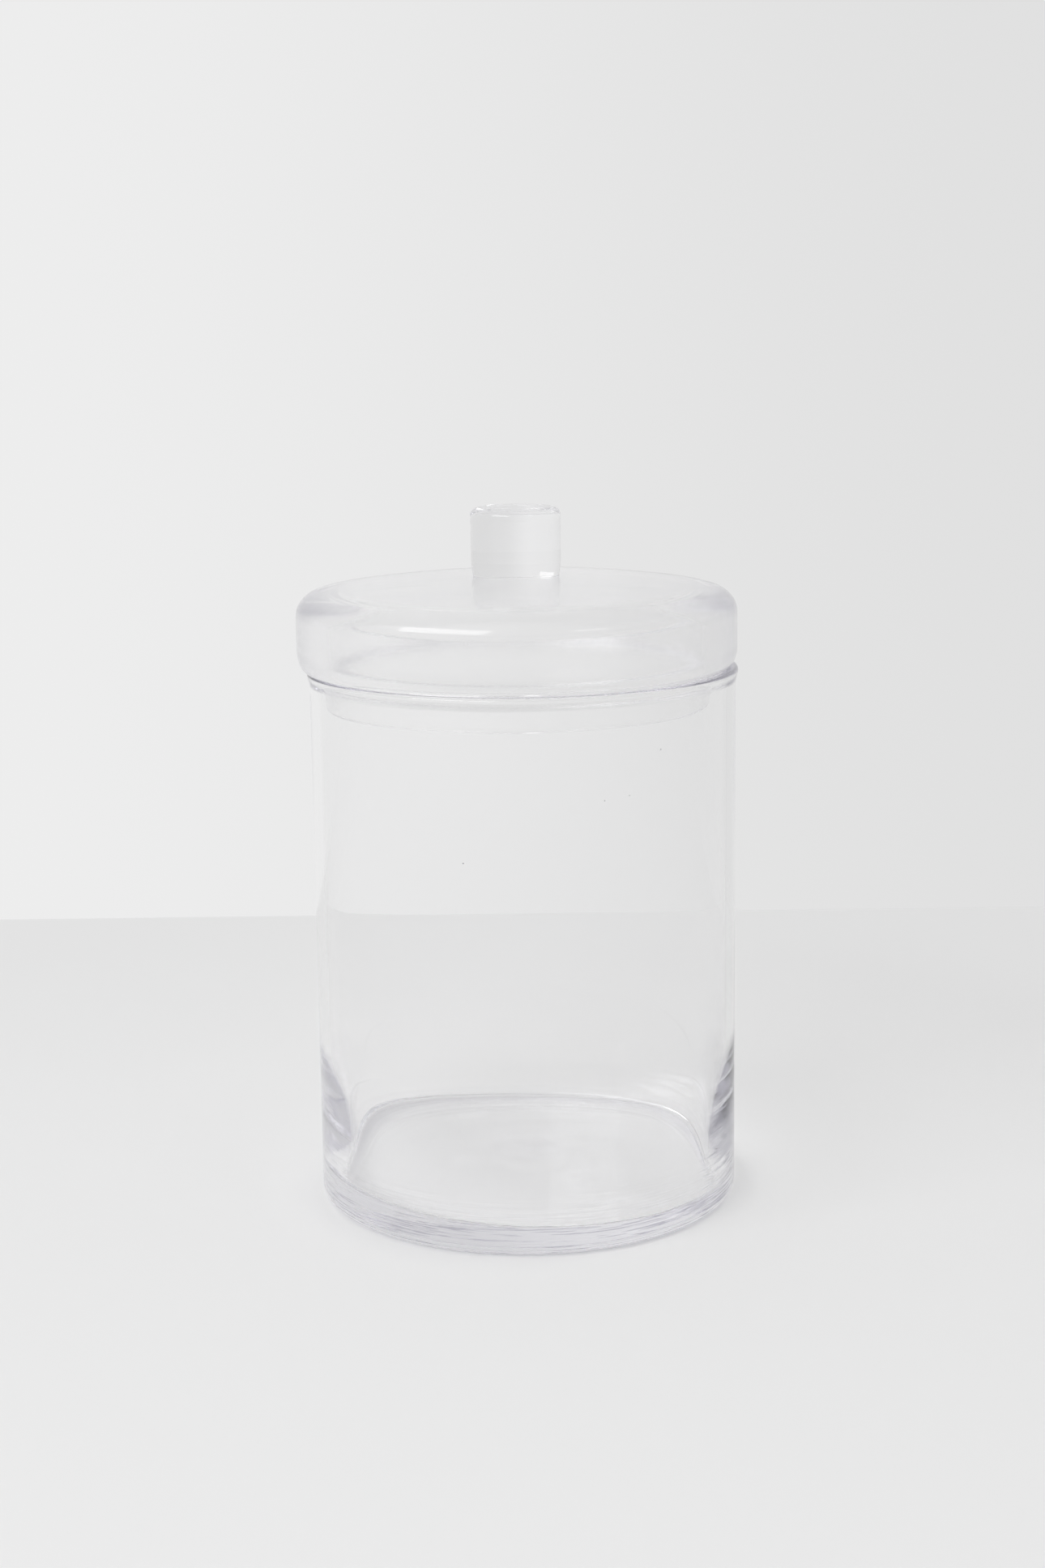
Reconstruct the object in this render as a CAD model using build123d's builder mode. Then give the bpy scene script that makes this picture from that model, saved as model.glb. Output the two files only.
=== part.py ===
"""Specimen jar: a blown glass cylinder with a loose blown lid and a solid glass knob on the lid.

The origin is the centre of the base, on the surface the jar stands on, with +Z up the jar's axis.
Every piece is turned about its own axis from half a section, drawn as radius and height.
"""

import math
import os

from build123d import *

os.makedirs("parts", exist_ok=True)

# ---- jar: outside ----
jar_radius = 75.0  # straight outside wall
jar_height = 191.3  # base to rim
foot_round = 4.5  # rounding of the base's outside edge
rim_proud = 0.8  # how far the fire-polished rim swells outside the wall
rim_band = 5.0  # height of that swelling
rim_round = 1.4  # rounding of both edges of the rim

# ---- jar: inside ----
wall = 3.5  # wall thickness above the heavy base
base_thickness = 10.2  # glass under the floor
heel_thickness = 7.0  # wall thickness just above the floor, where the glass is thickest
heel_height = 58.0  # height at which the wall starts to thicken towards the heel
floor_round = 2.0  # rounding of the corner between wall and floor
pontil_radius = 17.0  # ground and polished hollow in the middle of the underside
pontil_depth = 1.2

# ---- lid: outside ----
lid_overhang = 1.5  # how far the lid's side stands outside the jar's rim
lid_height = 27.2  # seat to shoulder, without the rise of the crown
shoulder_round = 8.5  # between the side and the crown
crown_rise = 5.2  # rise of the crown from the shoulder to the middle
turn_in = 3.5  # how far the bottom of the side turns in to reach the seat
turn_in_height = 7.0  # height over which it does so

# ---- lid: neck and bore ----
neck_wall = 1.8  # the bore runs straight up from the neck, so the lid's side is thick glass
crown_wall = 4.0  # glass over the bore
bore_corner_round = 4.5  # top corner of the bore
plug_depth = 13.0  # length of the open neck that drops into the mouth, from the seat
plug_clearance = 4.2  # radial gap between the neck and the mouth when both are centred
plug_root_round = 2.0  # corner between the seat and the neck
lid_offset = -1.9  # along X: the loose lid rests a little to one side of the mouth
seat_gap = 0.1  # daylight between the lid and the rim

# ---- knob ----
knob_radius = 15.8
knob_root_inset = 0.6  # the knob narrows by this where it is fused to the lid
knob_height = 23.4  # above the lid
knob_swell = 6.0  # height above the lid at which the knob reaches its full radius
knob_round = 3.0  # rounding of the knob's top edge

# ---- jar sizes worked out from those above ----
bore_radius = jar_radius - wall
rim_radius = jar_radius + rim_proud
heel_radius = jar_radius - heel_thickness
heel_z = base_thickness + floor_round
pontil_curve = (pontil_radius**2 + pontil_depth**2) / (2 * pontil_depth)

# ---- lid sizes worked out from those above ----
lid_radius = rim_radius + lid_overhang
seat_z = jar_height + seat_gap
side_z = seat_z + turn_in_height
shoulder_z = seat_z + lid_height - shoulder_round
shoulder_radius = lid_radius - shoulder_round
seat_radius = lid_radius - turn_in
plug_radius = bore_radius - plug_clearance
lid_bore = plug_radius - neck_wall
plug_z = seat_z - plug_depth
root_radius = plug_radius + plug_root_round
root_z = seat_z - plug_root_round
lip_round = neck_wall / 2

# The crown is one arc over the lid's axis, and runs smoothly into the shoulder's arc.
# crown_angle is the slope where they meet, which follows from the rise.
crown_angle = 2 * math.atan(crown_rise / shoulder_radius)
crown_arc = shoulder_round + shoulder_radius / math.sin(crown_angle)
crown_centre_z = shoulder_z - shoulder_radius / math.tan(crown_angle)
crown_sin = math.sin(crown_angle)
crown_cos = math.cos(crown_angle)

# The bore's ceiling is an arc about the same centre, and the corner's arc runs smoothly into it.
ceiling_arc = crown_arc - crown_wall
corner_radius = lid_bore - bore_corner_round
corner_rise = math.sqrt((ceiling_arc - bore_corner_round) ** 2 - corner_radius**2)
corner_z = crown_centre_z + corner_rise
corner_scale = ceiling_arc / (ceiling_arc - bore_corner_round)

lid_section = Plane(origin=(lid_offset, 0, 0), x_dir=(1, 0, 0), z_dir=(0, -1, 0))
lid_axis = Axis((lid_offset, 0, 0), (0, 0, 1))


def crown_z(radius):
    """Height of the lid's outer surface on the crown, this far from the lid's axis."""
    return crown_centre_z + math.sqrt(crown_arc**2 - radius**2)


with BuildPart() as jar_body:
    with BuildSketch(Plane.XZ):
        with BuildLine():
            # underside: the polished hollow, the flat the jar stands on, the rounded edge
            hollow_top = (0, pontil_depth)
            hollow = RadiusArc(hollow_top, (pontil_radius, 0), pontil_curve)
            foot = Line(hollow @ 1, (jar_radius - foot_round, 0))
            edge = RadiusArc(foot @ 1, (jar_radius, foot_round), -foot_round)
            # outside wall up to the swollen rim
            outside = Line(edge @ 1, (jar_radius, jar_height - rim_band))
            swell = Spline(
                outside @ 1,
                (rim_radius, jar_height - rim_round),
                tangents=[(0, 1), (0, 1)],
            )
            rim_out = RadiusArc(swell @ 1, (rim_radius - rim_round, jar_height), -rim_round)
            rim_top = Line(rim_out @ 1, (bore_radius + rim_round, jar_height))
            rim_in = RadiusArc(rim_top @ 1, (bore_radius, jar_height - rim_round), -rim_round)
            # inside wall, thickening towards the heel, then the floor
            inside = Line(rim_in @ 1, (bore_radius, heel_height))
            heel = Spline(
                inside @ 1,
                (heel_radius, heel_z),
                tangents=[(0, -1), (0, -1)],
            )
            corner = RadiusArc(heel @ 1, (heel_radius - floor_round, base_thickness), floor_round)
            jar_floor = Line(corner @ 1, (0, base_thickness))
            Line(jar_floor @ 1, hollow_top)
        make_face()
    revolve(axis=Axis.Z)
jar_body.part.label = "jar_body"
export_step(jar_body.part, "parts/jar_body.step")

with BuildPart() as lid_shell:
    with BuildSketch(lid_section):
        with BuildLine():
            # outside: crown, shoulder, side, turned-in bottom, seat, neck
            crown = RadiusArc(
                (0, crown_z(0)),
                (shoulder_radius + shoulder_round * crown_sin, shoulder_z + shoulder_round * crown_cos),
                crown_arc,
            )
            shoulder = RadiusArc(crown @ 1, (lid_radius, shoulder_z), shoulder_round)
            Line(shoulder @ 1, (lid_radius, side_z))
            EllipticalCenterArc((seat_radius, side_z), turn_in, turn_in_height, 270, arc_size=90)
            seat = Line((seat_radius, seat_z), (root_radius, seat_z))
            root = RadiusArc(seat @ 1, (plug_radius, root_z), -plug_root_round)
            neck = Line(root @ 1, (plug_radius, plug_z + lip_round))
            lip = ThreePointArc(
                neck @ 1,
                (plug_radius - lip_round, plug_z),
                (lid_bore, plug_z + lip_round),
            )
            # inside: straight up the bore, round its top corner, across under the crown
            bore = Line(lip @ 1, (lid_bore, corner_z))
            bore_corner = RadiusArc(
                bore @ 1,
                (corner_radius * corner_scale, crown_centre_z + corner_rise * corner_scale),
                -bore_corner_round,
            )
            ceiling = RadiusArc(bore_corner @ 1, (0, crown_z(0) - crown_wall), -ceiling_arc)
            Line(ceiling @ 1, (0, crown_z(0)))
        make_face()
    revolve(axis=lid_axis)
lid_shell.part.label = "lid_shell"
export_step(lid_shell.part, "parts/lid_shell.step")

with BuildPart() as lid_knob:
    with BuildSketch(lid_section):
        with BuildLine():
            knob_root = knob_radius - knob_root_inset
            knob_top = crown_z(0) + knob_height
            # the underside is the crown's own surface, where the two are fused
            under = RadiusArc((0, crown_z(0)), (knob_root, crown_z(knob_root)), crown_arc)
            flare = Spline(
                under @ 1,
                (knob_radius, crown_z(0) + knob_swell),
                tangents=[(0.25, 1), (0, 1)],
            )
            knob_side = Line(flare @ 1, (knob_radius, knob_top - knob_round))
            knob_edge = RadiusArc(
                knob_side @ 1, (knob_radius - knob_round, knob_top), -knob_round
            )
            top = Line(knob_edge @ 1, (0, knob_top))
            Line(top @ 1, (0, crown_z(0)))
        make_face()
    revolve(axis=lid_axis)
lid_knob.part.label = "lid_knob"
export_step(lid_knob.part, "parts/lid_knob.step")

print("crown top", round(crown_z(0), 2), "at the knob", round(crown_z(knob_radius), 2))
print("overall height", round(knob_top, 2))
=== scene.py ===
import math

import bmesh
import bpy
from mathutils import Matrix, Vector, noise


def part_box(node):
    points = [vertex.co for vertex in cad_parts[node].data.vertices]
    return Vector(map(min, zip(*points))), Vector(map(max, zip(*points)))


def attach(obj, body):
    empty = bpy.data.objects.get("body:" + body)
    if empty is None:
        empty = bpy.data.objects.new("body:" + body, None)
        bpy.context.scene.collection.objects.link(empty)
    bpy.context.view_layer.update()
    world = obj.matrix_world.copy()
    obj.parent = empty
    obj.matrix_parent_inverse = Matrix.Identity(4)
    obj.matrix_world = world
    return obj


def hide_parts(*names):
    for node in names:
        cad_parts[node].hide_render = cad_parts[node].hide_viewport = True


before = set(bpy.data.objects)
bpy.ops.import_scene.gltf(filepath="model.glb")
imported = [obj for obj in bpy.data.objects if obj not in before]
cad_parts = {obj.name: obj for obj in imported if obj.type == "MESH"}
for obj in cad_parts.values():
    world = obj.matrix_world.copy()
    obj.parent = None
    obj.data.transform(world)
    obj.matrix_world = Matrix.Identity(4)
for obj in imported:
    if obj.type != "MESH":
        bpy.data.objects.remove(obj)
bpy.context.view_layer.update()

mm = 0.001


def linearColour(hexCode):
    channels = []
    for start in (1, 3, 5):
        value = int(hexCode[start:start + 2], 16) / 255
        channels.append(value / 12.92 if value <= 0.04045 else ((value + 0.055) / 1.055) ** 2.4)
    return (*channels, 1.0)


def addNode(tree, kind, values=None, wires=None, **settings):
    node = tree.nodes.new(kind)
    for name, value in settings.items():
        setattr(node, name, value)
    for socket, value in (values or {}).items():
        node.inputs[socket].default_value = value
    for socket, source in (wires or {}).items():
        tree.links.new(source, node.inputs[socket])
    return node


def smoothStep(low, high, value):
    share = min(1.0, max(0.0, (value - low) / (high - low)))
    return share * share * (3 - 2 * share)


def arcPoints(centre, radii, start, end, steps):
    # an ellipse's arc in degrees, without its first point, which the outline already has
    points = []
    for step in range(1, steps + 1):
        angle = math.radians(start + (end - start) * step / steps)
        points.append((centre[0] + radii[0] * math.cos(angle), centre[1] + radii[1] * math.sin(angle)))
    return points


def linePoints(start, end, steps):
    return [
        (start[0] + (end[0] - start[0]) * step / steps, start[1] + (end[1] - start[1]) * step / steps)
        for step in range(1, steps + 1)
    ]


def spinOutline(name, outline, axisX, turns):
    # turns a half section (radius, height, in mm) about a vertical axis into a closed glass body;
    # an outline that starts and ends on the axis closes there, any other closes on itself
    body = bmesh.new()
    onAxis = outline[0][0] == 0
    rings = []
    for radius, height in outline:
        if radius == 0:
            rings.append([body.verts.new((axisX * mm, 0, height * mm))])
            continue
        ring = []
        for turn in range(turns):
            angle = 2 * math.pi * turn / turns
            ring.append(body.verts.new((
                (axisX + radius * math.cos(angle)) * mm, radius * math.sin(angle) * mm, height * mm
            )))
        rings.append(ring)
    pairs = list(zip(rings, rings[1:]))
    if not onAxis:
        pairs.append((rings[-1], rings[0]))
    for lower, upper in pairs:
        for turn in range(turns):
            after = (turn + 1) % turns
            if len(lower) == 1:
                body.faces.new((lower[0], upper[after], upper[turn]))
            elif len(upper) == 1:
                body.faces.new((lower[turn], lower[after], upper[0]))
            else:
                body.faces.new((lower[turn], lower[after], upper[after], upper[turn]))
    bmesh.ops.recalc_face_normals(body, faces=body.faces)
    mesh = bpy.data.meshes.new(name)
    body.to_mesh(mesh)
    body.free()
    for face in mesh.polygons:
        face.use_smooth = True
    piece = bpy.data.objects.new(name, mesh)
    bpy.context.scene.collection.objects.link(piece)
    return piece


def addSeeds(piece, seeds):
    # seeds are small round gas bubbles shut in the glass: closed shells whose faces look inwards
    body = bmesh.new()
    body.from_mesh(piece.data)
    for azimuth, radius, height, size in seeds:
        angle = math.radians(azimuth)
        spot = Vector((radius * math.sin(angle), -radius * math.cos(angle), height)) * mm
        place = Matrix.Translation(spot)
        made = bmesh.ops.create_icosphere(body, subdivisions=3, radius=size / 2 * mm, matrix=place)
        bubble = {face for vert in made["verts"] for face in vert.link_faces}
        bmesh.ops.reverse_faces(body, faces=list(bubble))
        for face in bubble:
            face.smooth = True
    body.to_mesh(piece.data)
    body.free()


def blownGlass(name, look):
    # soda-lime glass, blown and fire-polished: the eye gets a clear body with a faint manganese lilac
    # that shows only the long way through it, a smooth skin, and slow swells left by blowing and turning
    material = bpy.data.materials.new(name)
    material.use_nodes = True
    tree = material.node_tree
    tree.nodes.clear()
    place = addNode(tree, "ShaderNodeTexCoord").outputs["Object"]
    # slow swells: one noise whose cells are look["swell"] mm across, stretched up the wall
    stretched = addNode(tree, "ShaderNodeMapping", {"Scale": (1, 1, look["swellStretch"])}, {"Vector": place})
    swells = addNode(
        tree, "ShaderNodeTexNoise",
        {"Scale": 1 / (look["swell"] * mm), "Detail": 1.0, "Roughness": 0.4},
        {"Vector": stretched.outputs["Vector"]},
    )
    swellBump = addNode(
        tree, "ShaderNodeBump", {"Strength": 1.0, "Distance": look["swellDepth"] * mm},
        {"Height": swells.outputs["Fac"]},
    )
    # drawn lines: fine rings round the piece where it was turned against the tool
    flat = addNode(tree, "ShaderNodeMapping", {"Scale": (0.06, 0.06, 1)}, {"Vector": place})
    turning = addNode(
        tree, "ShaderNodeTexNoise",
        {"Scale": 1 / (look["ring"] * mm), "Detail": 2.0, "Roughness": 0.5},
        {"Vector": flat.outputs["Vector"]},
    )
    ringBump = addNode(
        tree, "ShaderNodeBump", {"Strength": 1.0, "Distance": look["ringDepth"] * mm},
        {"Height": turning.outputs["Fac"], "Normal": swellBump.outputs["Normal"]},
    )
    # cords: drawn-out streaks that the gather leaves in the heavy glass at the foot, gone higher up
    drawn = addNode(tree, "ShaderNodeMapping", {"Scale": (0.04, 0.04, 1)}, {"Vector": place})
    cords = addNode(
        tree, "ShaderNodeTexNoise",
        {"Scale": 1 / (look["cord"] * mm), "Detail": 2.0, "Roughness": 0.6},
        {"Vector": drawn.outputs["Vector"]},
    )
    heights = addNode(tree, "ShaderNodeSeparateXYZ", wires={"Vector": place})
    flattened = addNode(tree, "ShaderNodeVectorMath", {1: (1, 1, 0)}, {0: place}, operation="MULTIPLY")
    fromAxis = addNode(
        tree, "ShaderNodeVectorMath", wires={0: flattened.outputs["Vector"]}, operation="LENGTH"
    )
    low = addNode(
        tree, "ShaderNodeMapRange",
        {"From Min": look["cordTop"] * mm, "From Max": 0.0},
        {"Value": heights.outputs["Z"]},
        interpolation_type="SMOOTHSTEP",
    )
    wide = addNode(
        tree, "ShaderNodeMapRange",
        {"From Min": look["cordInner"] * mm, "From Max": (look["cordInner"] + 4) * mm},
        {"Value": fromAxis.outputs["Value"]},
    )
    heavy = addNode(
        tree, "ShaderNodeMath", wires={0: low.outputs["Result"], 1: wide.outputs["Result"]},
        operation="MULTIPLY",
    )
    faded = addNode(
        tree, "ShaderNodeMath", wires={0: cords.outputs["Fac"], 1: heavy.outputs["Value"]},
        operation="MULTIPLY",
    )
    cordBump = addNode(
        tree, "ShaderNodeBump", {"Strength": 1.0, "Distance": look["cordDepth"] * mm},
        {"Height": faded.outputs["Value"], "Normal": ringBump.outputs["Normal"]},
    )
    # handling haze: patches a few centimetres across where the polish is a little less sharp
    patches = addNode(
        tree, "ShaderNodeTexNoise", {"Scale": 1 / (look["haze"] * mm), "Detail": 3.0}, {"Vector": place}
    )
    haze = addNode(
        tree, "ShaderNodeMapRange",
        {"From Min": 0.5, "From Max": 0.8, "To Min": look["skinRoughness"], "To Max": look["hazeRoughness"]},
        {"Value": patches.outputs["Fac"]},
    )
    # satin: the hollow under the base was ground and never brought back to a full polish
    near = addNode(
        tree, "ShaderNodeMapRange",
        {"From Min": look["satinRadius"] * mm, "From Max": look["satinRadius"] * 0.3 * mm},
        {"Value": fromAxis.outputs["Value"]},
    )
    under = addNode(
        tree, "ShaderNodeMapRange",
        {"From Min": 4 * mm, "From Max": 3 * mm, "To Max": look["satinRoughness"]},
        {"Value": heights.outputs["Z"]},
    )
    satin = addNode(
        tree, "ShaderNodeMath", wires={0: near.outputs["Result"], 1: under.outputs["Result"]},
        operation="MULTIPLY",
    )
    roughness = addNode(
        tree, "ShaderNodeMath", wires={0: haze.outputs["Result"], 1: satin.outputs["Value"]},
        operation="MAXIMUM",
    )
    surface = addNode(
        tree, "ShaderNodeBsdfPrincipled",
        {"Base Color": linearColour(look["colour"]), "IOR": look["ior"], "Transmission Weight": 1.0},
        {"Roughness": roughness.outputs["Value"], "Normal": cordBump.outputs["Normal"]},
    )
    depth = addNode(
        tree, "ShaderNodeVolumeAbsorption",
        {"Color": linearColour(look["deepColour"]), "Density": look["deepDensity"]},
    )
    addNode(
        tree, "ShaderNodeOutputMaterial",
        wires={"Surface": surface.outputs["BSDF"], "Volume": depth.outputs["Volume"]},
    )
    return material


jarLow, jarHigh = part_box("jar_body")
jar = {
    "rimRadius": (jarHigh.x - jarLow.x) / 2 / mm,
    "height": jarHigh.z / mm,
    "rimProud": 0.8,
    "rimBand": 5.0,
    "rimRound": 1.4,
    "footRound": 4.5,
    "wall": 3.5,
    "baseThick": 10.2,
    "heelThick": 7.0,
    "heelHeight": 58.0,
    "floorRound": 2.0,
    "hollowRadius": 17.0,
    "hollowDepth": 0.25,
    "floorLean": (-0.04, 0.025),  # the inside floor was never quite level: mm up per mm along X and Y
    "leanBottom": 20.0,
    "leanTop": 60.0,  # the lean dies away up the wall between these heights
    "waver": 0.05,  # how far the blown wall wanders from round
    "turns": 384,
    # seeds: degrees round from the front, radius, height and diameter in mm
    "seeds": [(-16, 73.2, 136, 0.5), (21, 73.0, 156, 0.4), (28, 73.4, 157, 0.35), (38, 72.9, 171, 0.5)],
    # the glass: sizes in mm, density per metre
    "look": {
        "colour": "#FEFEFE",  # what the skin lets through
        "ior": 1.52,  # soda-lime glass
        "deepColour": "#E4E3EA",  # the lilac-grey that a long way through the glass takes on
        "deepDensity": 4.5,
        "swell": 38,
        "swellStretch": 0.45,
        "swellDepth": 0.05,
        "ring": 7,
        "ringDepth": 0.0015,
        "cord": 2.0,
        "cordTop": 26,  # the cords are gone by this height
        "cordInner": 62,  # and inside this radius
        "cordDepth": 0.25,
        "haze": 45,
        "skinRoughness": 0.0,  # fire-polished
        "hazeRoughness": 0.02,
        "satinRadius": 17,
        "satinRoughness": 0.24,
    },
}


def jarOutline(size):
    outer = size["rimRadius"] - size["rimProud"]
    bore = outer - size["wall"]
    heel = outer - size["heelThick"]
    top = size["height"]
    edge = size["rimRound"]
    foot = size["footRound"]
    corner = size["floorRound"]
    floorZ = size["baseThick"]
    outline = [(0, size["hollowDepth"])]
    for step in range(1, 13):
        share = step / 12
        outline.append((size["hollowRadius"] * share, size["hollowDepth"] * (1 - share ** 2) ** 2))
    outline += linePoints(outline[-1], (outer - foot, 0), 8)
    outline += arcPoints((outer - foot, foot), (foot, foot), -90, 0, 16)
    outline += linePoints(outline[-1], (outer, top - size["rimBand"]), 48)
    for step in range(1, 9):
        share = step / 8
        outline.append((
            outer + size["rimProud"] * smoothStep(0, 1, share),
            top - size["rimBand"] + (size["rimBand"] - edge) * share,
        ))
    outline += arcPoints((outline[-1][0] - edge, top - edge), (edge, edge), 0, 90, 8)
    outline += linePoints(outline[-1], (bore + edge, top), 3)
    outline += arcPoints((bore + edge, top - edge), (edge, edge), 90, 180, 8)
    outline += linePoints(outline[-1], (bore, size["heelHeight"]), 44)
    heelZ = floorZ + corner
    for step in range(1, 37):
        share = step / 36
        outline.append((
            bore - (bore - heel) * smoothStep(0, 1, share),
            size["heelHeight"] + (heelZ - size["heelHeight"]) * share,
        ))
    outline += arcPoints((heel - corner, heelZ), (corner, corner), 0, -90, 10)
    outline += linePoints(outline[-1], (0, floorZ), 16)
    return outline


def shapeJarByHand(piece, size):
    # lean the inside floor and let the wall wander, as on a jar blown and shaped without a mould
    bore = size["rimRadius"] - size["rimProud"] - size["wall"]
    for vert in piece.data.vertices:
        x, y, z = vert.co / mm
        radius = math.hypot(x, y)
        inside = radius < bore + 0.1 and z > size["baseThick"] - 0.1
        if inside:
            fade = 1 - smoothStep(size["leanBottom"], size["leanTop"], z)
            vert.co.z += (size["floorLean"][0] * x + size["floorLean"][1] * y) * fade * mm
        if radius > size["hollowRadius"]:
            level = smoothStep(0, 15, z) * smoothStep(0, 20, size["height"] - z)
            drift = noise.noise(Vector((x / radius * 0.9, y / radius * 0.9, z / 90 + (7 if inside else 0))))
            push = size["waver"] * drift * level / radius
            vert.co.x += x * push * mm
            vert.co.y += y * push * mm


def makeJar():
    piece = spinOutline("jarGlass", jarOutline(jar), 0.0, jar["turns"])
    shapeJarByHand(piece, jar)
    addSeeds(piece, jar["seeds"])
    piece.data.materials.append(blownGlass("sodaLimeJarGlass", jar["look"]))
    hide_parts("jar_body")
    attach(piece, "jar")


makeJar()
print("jar: blown cylinder with a heavy base")


lidLow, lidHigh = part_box("lid_shell")
lid = {
    "axisX": (lidLow.x + lidHigh.x) / 2 / mm,
    "radius": (lidHigh.x - lidLow.x) / 2 / mm,
    "bottom": lidLow.z / mm,
    "top": lidHigh.z / mm,
    "plugDepth": 13.0,
    "neckWall": 1.8,  # the bore runs straight up from the neck, so the side is thick glass
    "crownWall": 4.0,
    "boreCornerRound": 4.5,
    "shoulderRound": 8.5,
    "crownRise": 5.2,
    "turnIn": 3.5,
    "turnInHeight": 7.0,
    "plugInset": 10.0,  # the neck's outside, in from the lid's outside
    "rootRound": 2.0,
    "waver": 0.12,
    "turns": 360,
    # a softer skin than the jar's, which blurs what lies behind it and keeps the thick side quiet
    "look": dict(
        jar["look"], swell=30, swellStretch=1.0, swellDepth=0.1, ringDepth=0.004, deepDensity=3.0,
        cordDepth=0, satinRoughness=0, skinRoughness=0.12, hazeRoughness=0.14,
    ),
}


def crownArc(size):
    # slope at the crown's edge, the crown's radius and the height of that arc's centre
    flatRadius = size["radius"] - size["shoulderRound"]
    slope = 2 * math.atan(size["crownRise"] / flatRadius)
    radius = size["shoulderRound"] + flatRadius / math.sin(slope)
    return slope, radius, size["top"] - radius


def lidOutline(size):
    slope, crown, crownZ = crownArc(size)
    slopeDegrees = math.degrees(slope)
    curve = size["shoulderRound"]
    flatRadius = size["radius"] - curve
    shoulderZ = crownZ + (crown - curve) * math.cos(slope)
    seatZ = size["bottom"] + size["plugDepth"]
    sideZ = seatZ + size["turnInHeight"]
    seatRadius = size["radius"] - size["turnIn"]
    plug = size["radius"] - size["plugInset"]
    root = size["rootRound"]
    lip = size["neckWall"] / 2
    outline = [(0, size["top"])]
    outline += arcPoints((0, crownZ), (crown, crown), 90, 90 - slopeDegrees, 40)
    outline += arcPoints((flatRadius, shoulderZ), (curve, curve), 90 - slopeDegrees, 0, 20)
    outline += linePoints(outline[-1], (size["radius"], sideZ), 8)
    outline += arcPoints((seatRadius, sideZ), (size["turnIn"], size["turnInHeight"]), 0, -90, 16)
    outline += linePoints(outline[-1], (plug + root, seatZ), 4)
    outline += arcPoints((plug + root, seatZ - root), (root, root), 90, 180, 8)
    outline += linePoints(outline[-1], (plug, size["bottom"] + lip), 6)
    outline += arcPoints((plug - lip, size["bottom"] + lip), (lip, lip), 0, -180, 14)
    # inside: straight up the bore, round its top corner, across under the crown
    bore = plug - size["neckWall"]
    corner = size["boreCornerRound"]
    under = crown - size["crownWall"]
    cornerZ = crownZ + math.sqrt((under - corner) ** 2 - (bore - corner) ** 2)
    cornerSlope = math.degrees(math.atan2(bore - corner, cornerZ - crownZ))
    outline += linePoints(outline[-1], (bore, cornerZ), 24)
    outline += arcPoints((bore - corner, cornerZ), (corner, corner), 0, 90 - cornerSlope, 16)
    outline += arcPoints((0, crownZ), (under, under), 90 - cornerSlope, 90, 36)
    outline[-1] = (0, crownZ + under)
    return outline


def wanderRound(piece, size, seed):
    # the same small wander from round, about the piece's own axis
    for vert in piece.data.vertices:
        x = vert.co.x / mm - size["axisX"]
        y, z = vert.co.y / mm, vert.co.z / mm
        radius = math.hypot(x, y)
        if radius > 1:
            push = size["waver"] * noise.noise(Vector((x / radius, y / radius, z / 40 + seed))) / radius
            vert.co.x += x * push * mm
            vert.co.y += y * push * mm


def makeLid():
    piece = spinOutline("lidGlass", lidOutline(lid), lid["axisX"], lid["turns"])
    wanderRound(piece, lid, 3.0)
    piece.data.materials.append(blownGlass("sodaLimeLidGlass", lid["look"]))
    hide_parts("lid_shell")
    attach(piece, "lid")


makeLid()
print("lid: thick-sided blown lid with an open neck")


knobLow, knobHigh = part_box("lid_knob")
knob = {
    "axisX": lid["axisX"],
    "radius": (knobHigh.x - knobLow.x) / 2 / mm,
    "top": knobHigh.z / mm,
    "rootInset": 0.6,
    "swellHeight": 6.0,
    "topRound": 3.0,
    "sunk": 0.15,  # the knob is fused into the lid, so its underside lies this far inside the lid's skin
    "waver": 0.1,
    "turns": 240,
    "look": dict(
        jar["look"], swell=14, swellStretch=1.0, swellDepth=0.05, ring=4, deepDensity=3.0,
        cordDepth=0, satinRoughness=0,
    ),
}


def knobOutline(size):
    crown, crownZ = crownArc(lid)[1:]
    root = size["radius"] - size["rootInset"]
    buried = crown - size["sunk"]
    spread = math.degrees(math.asin(root / buried))
    curve = size["topRound"]
    swellZ = lid["top"] + size["swellHeight"]
    outline = [(0, crownZ + buried)]
    outline += arcPoints((0, crownZ), (buried, buried), 90, 90 - spread, 12)
    startZ = outline[-1][1]
    for step in range(1, 13):
        share = step / 12
        outline.append((
            root + size["rootInset"] * math.sin(share * math.pi / 2), startZ + (swellZ - startZ) * share
        ))
    outline += linePoints(outline[-1], (size["radius"], size["top"] - curve), 10)
    outline += arcPoints((size["radius"] - curve, size["top"] - curve), (curve, curve), 0, 90, 14)
    outline += linePoints(outline[-1], (0, size["top"]), 10)
    return outline


def makeKnob():
    piece = spinOutline("knobGlass", knobOutline(knob), knob["axisX"], knob["turns"])
    wanderRound(piece, knob, 11.0)
    piece.data.materials.append(blownGlass("sodaLimeKnobGlass", knob["look"]))
    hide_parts("lid_knob")
    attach(piece, "lid")


makeKnob()
print("knob: solid glass, fused to the crown")


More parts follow.
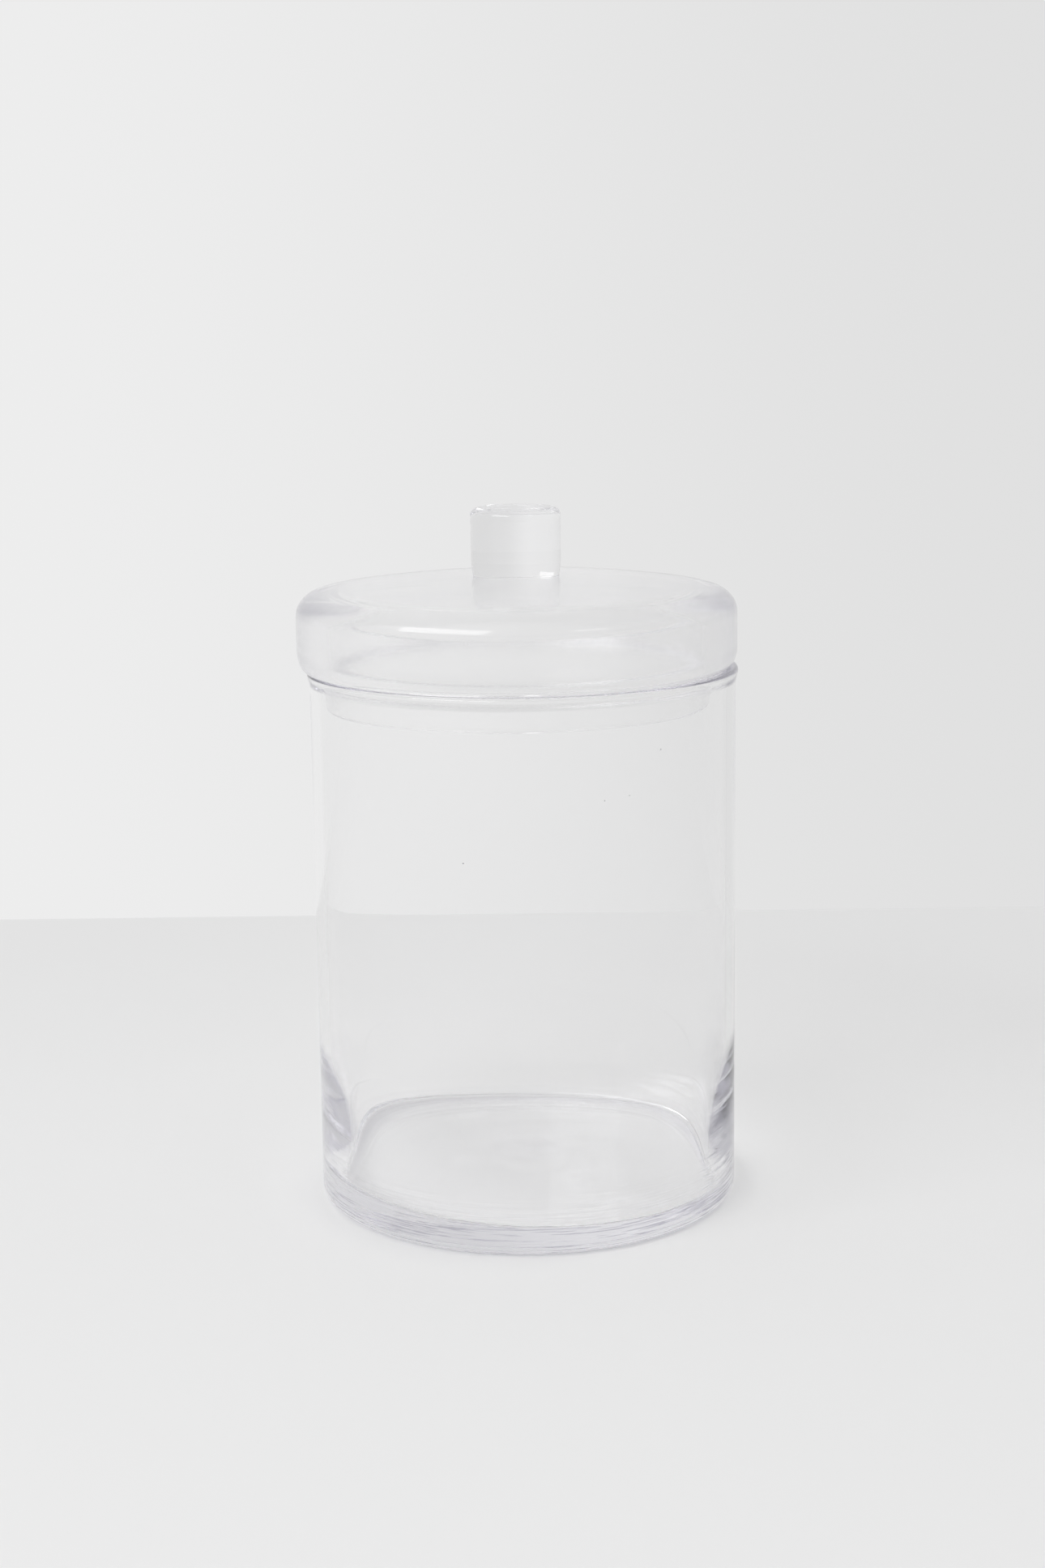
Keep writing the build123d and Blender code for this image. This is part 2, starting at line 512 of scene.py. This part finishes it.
studio = {
    "tableColour": "#F0F0F0",
    "tableFar": 0.415,  # the table's far edge, behind the jar
    "tableReach": 3.0,
    "tableDrop": 0.0003,  # just under the glass, so that the two surfaces never lie in one plane
    # how bright the room is from front to back (-1 is behind the maker, 1 beyond the table)
    "roomDepth": [(-1.0, 0.60), (-0.6, 0.72), (0.0, 0.96), (0.4, 1.0)],
    # and from left (-1) to right (1)
    "roomSide": [(-1.0, 0.80), (-0.5, 0.84), (-0.22, 0.85), (0.22, 0.75), (0.5, 0.73), (1.0, 0.72)],
    # and from the floor up (0 is level)
    "roomHeight": [(-1.0, 1.0), (0.12, 1.0), (0.35, 1.0), (1.0, 1.12)],
}
lamps = [
    # name, place, aim, width, height, watts
    ("windowLeft", (-1.3, -1.5, 1.45), (0, 0, 0.12), 1.9, 0.8, 17),
    ("windowRight", (1.1, -1.3, 1.2), (0, 0, 0.12), 0.6, 0.12, 0.9),
]


def makeTable():
    mesh = bpy.data.meshes.new("studioTable")
    reach = studio["tableReach"]
    depth = -studio["tableDrop"]
    corners = [
        (-reach, -reach, depth), (reach, -reach, depth),
        (reach, studio["tableFar"], depth), (-reach, studio["tableFar"], depth),
    ]
    mesh.from_pydata(corners, [], [(0, 1, 2, 3)])
    table = bpy.data.objects.new("studioTable", mesh)
    bpy.context.scene.collection.objects.link(table)
    # matt white laminate: even, pale, with a trace of tooth so that it never reads as a plain fill
    material = bpy.data.materials.new("mattLaminateTable")
    material.use_nodes = True
    tree = material.node_tree
    tree.nodes.clear()
    place = addNode(tree, "ShaderNodeTexCoord").outputs["Object"]
    tooth = addNode(tree, "ShaderNodeTexNoise", {"Scale": 1 / (1.5 * mm), "Detail": 2.0}, {"Vector": place})
    bump = addNode(
        tree, "ShaderNodeBump", {"Strength": 0.2, "Distance": 0.02 * mm}, {"Height": tooth.outputs["Fac"]}
    )
    surface = addNode(
        tree, "ShaderNodeBsdfPrincipled",
        {"Base Color": linearColour(studio["tableColour"]), "Roughness": 0.85, "Specular IOR Level": 0.1},
        {"Normal": bump.outputs["Normal"]},
    )
    addNode(tree, "ShaderNodeOutputMaterial", wires={"Surface": surface.outputs["BSDF"]})
    mesh.materials.append(material)


def makeRoom():
    # a pale room: brighter beyond the table and to the left, dimmer where the maker stands
    world = bpy.data.worlds.new("paleRoom")
    bpy.context.scene.world = world
    world.use_nodes = True
    tree = world.node_tree
    tree.nodes.clear()
    way = addNode(tree, "ShaderNodeTexCoord").outputs["Generated"]
    parts = addNode(tree, "ShaderNodeSeparateXYZ", wires={"Vector": way})
    levels = []
    for axis, stops in (("Y", studio["roomDepth"]), ("X", studio["roomSide"]), ("Z", studio["roomHeight"])):
        # a direction's part along the axis runs from -1 to 1, and a ramp from 0 to 1
        along = addNode(tree, "ShaderNodeMapRange", {"From Min": -1.0}, {"Value": parts.outputs[axis]})
        ramp = addNode(tree, "ShaderNodeValToRGB", wires={"Fac": along.outputs["Result"]})
        ramp.color_ramp.interpolation = "EASE"
        marks = ramp.color_ramp.elements
        while len(marks) < len(stops):
            marks.new(0.5)
        for mark, (position, value) in zip(marks, stops):
            mark.position = (position + 1) / 2
            mark.color = (value, value, value, 1)
        levels.append(ramp.outputs["Color"])
    level = levels[0]
    for nextLevel in levels[1:]:
        product = addNode(tree, "ShaderNodeVectorMath", wires={0: level, 1: nextLevel}, operation="MULTIPLY")
        level = product.outputs["Vector"]
    light = addNode(tree, "ShaderNodeBackground", wires={"Color": level})
    addNode(tree, "ShaderNodeOutputWorld", wires={"Surface": light.outputs["Background"]})


def makeLamp(name, place, aim, width, height, watts):
    lamp = bpy.data.lights.new(name, "AREA")
    lamp.shape = "RECTANGLE"
    lamp.size = width
    lamp.size_y = height
    lamp.energy = watts
    holder = bpy.data.objects.new(name, lamp)
    holder.location = place
    holder.rotation_euler = (Vector(aim) - Vector(place)).to_track_quat("-Z", "Y").to_euler()
    bpy.context.scene.collection.objects.link(holder)


makeTable()
makeRoom()
for lampRow in lamps:
    makeLamp(*lampRow)
print("studio: table, room and", len(lamps), "lamps")


view = {
    "place": (0.0, -0.8868, 0.3190),
    "lens": 58.295,  # on a 36 mm long side
    "pitch": 10.869,  # degrees down
    "roll": -0.721,
    "yaw": -0.035,
}


def makeCamera():
    camera = bpy.data.cameras.new("camera")
    camera.sensor_width = 36
    camera.lens = view["lens"]
    camera.clip_start = 0.01
    pitch, roll, yaw = (math.radians(view[key]) for key in ("pitch", "roll", "yaw"))
    ahead = Vector((math.sin(yaw) * math.cos(pitch), math.cos(yaw) * math.cos(pitch), -math.sin(pitch)))
    right = ahead.cross(Vector((0, 0, 1))).normalized()
    up = right.cross(ahead)
    rolledRight = right * math.cos(roll) + up * math.sin(roll)
    rolledUp = up * math.cos(roll) - right * math.sin(roll)
    turn = Matrix((rolledRight, rolledUp, -ahead)).transposed().to_4x4()
    holder = bpy.data.objects.new("camera", camera)
    holder.matrix_world = Matrix.Translation(view["place"]) @ turn
    bpy.context.scene.collection.objects.link(holder)
    bpy.context.scene.camera = holder


makeCamera()
bpy.context.scene.view_settings.view_transform = "Standard"  # white stays white
cycles = bpy.context.scene.cycles
cycles.max_bounces = 128  # light is guided a long way round inside the base and the lid before it leaves
cycles.transmission_bounces = 128
cycles.glossy_bounces = 128
cycles.caustics_reflective = True
cycles.caustics_refractive = True
cycles.blur_glossy = 0.0
cycles.sample_clamp_indirect = 10.0
print("camera placed")
